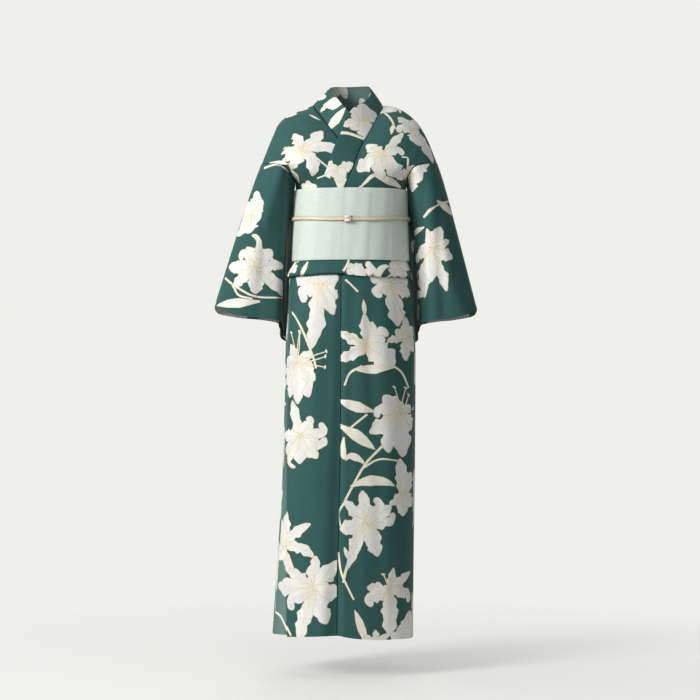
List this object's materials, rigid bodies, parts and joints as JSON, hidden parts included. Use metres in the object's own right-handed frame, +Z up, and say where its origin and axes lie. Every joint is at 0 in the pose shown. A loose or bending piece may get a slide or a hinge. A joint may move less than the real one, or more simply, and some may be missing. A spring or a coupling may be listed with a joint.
{
  "type": "cotton yukata robe",
  "caption": "Women's dark green cotton yukata with large lilies, worn with a mint half-width obi, braided cord and small pearl ornament, hollow as on a wearer.",
  "frame": {"origin": "middle of the shoulder line, where the robe rests on the wearer", "axes": "+Z up, -Y out of the front, +X to the wearer's left"},
  "size_m": [0.6276, 0.2781, 1.3166],
  "materials": {
    "printed_cotton": "matte",
    "mint_weave": "matte",
    "gold_braid": "satin",
    "pearl": "gloss"
  },
  "bodies": {
    "root": {"body_left": "printed_cotton", "body_right": "printed_cotton", "okumi_left": "printed_cotton", "okumi_right": "printed_cotton", "collar": "printed_cotton", "sleeve_left": "printed_cotton", "sleeve_right": "printed_cotton", "obi": "mint_weave", "obi_tail": "mint_weave", "obijime": "gold_braid", "obidome": "pearl"}
  },
  "joints": []
}
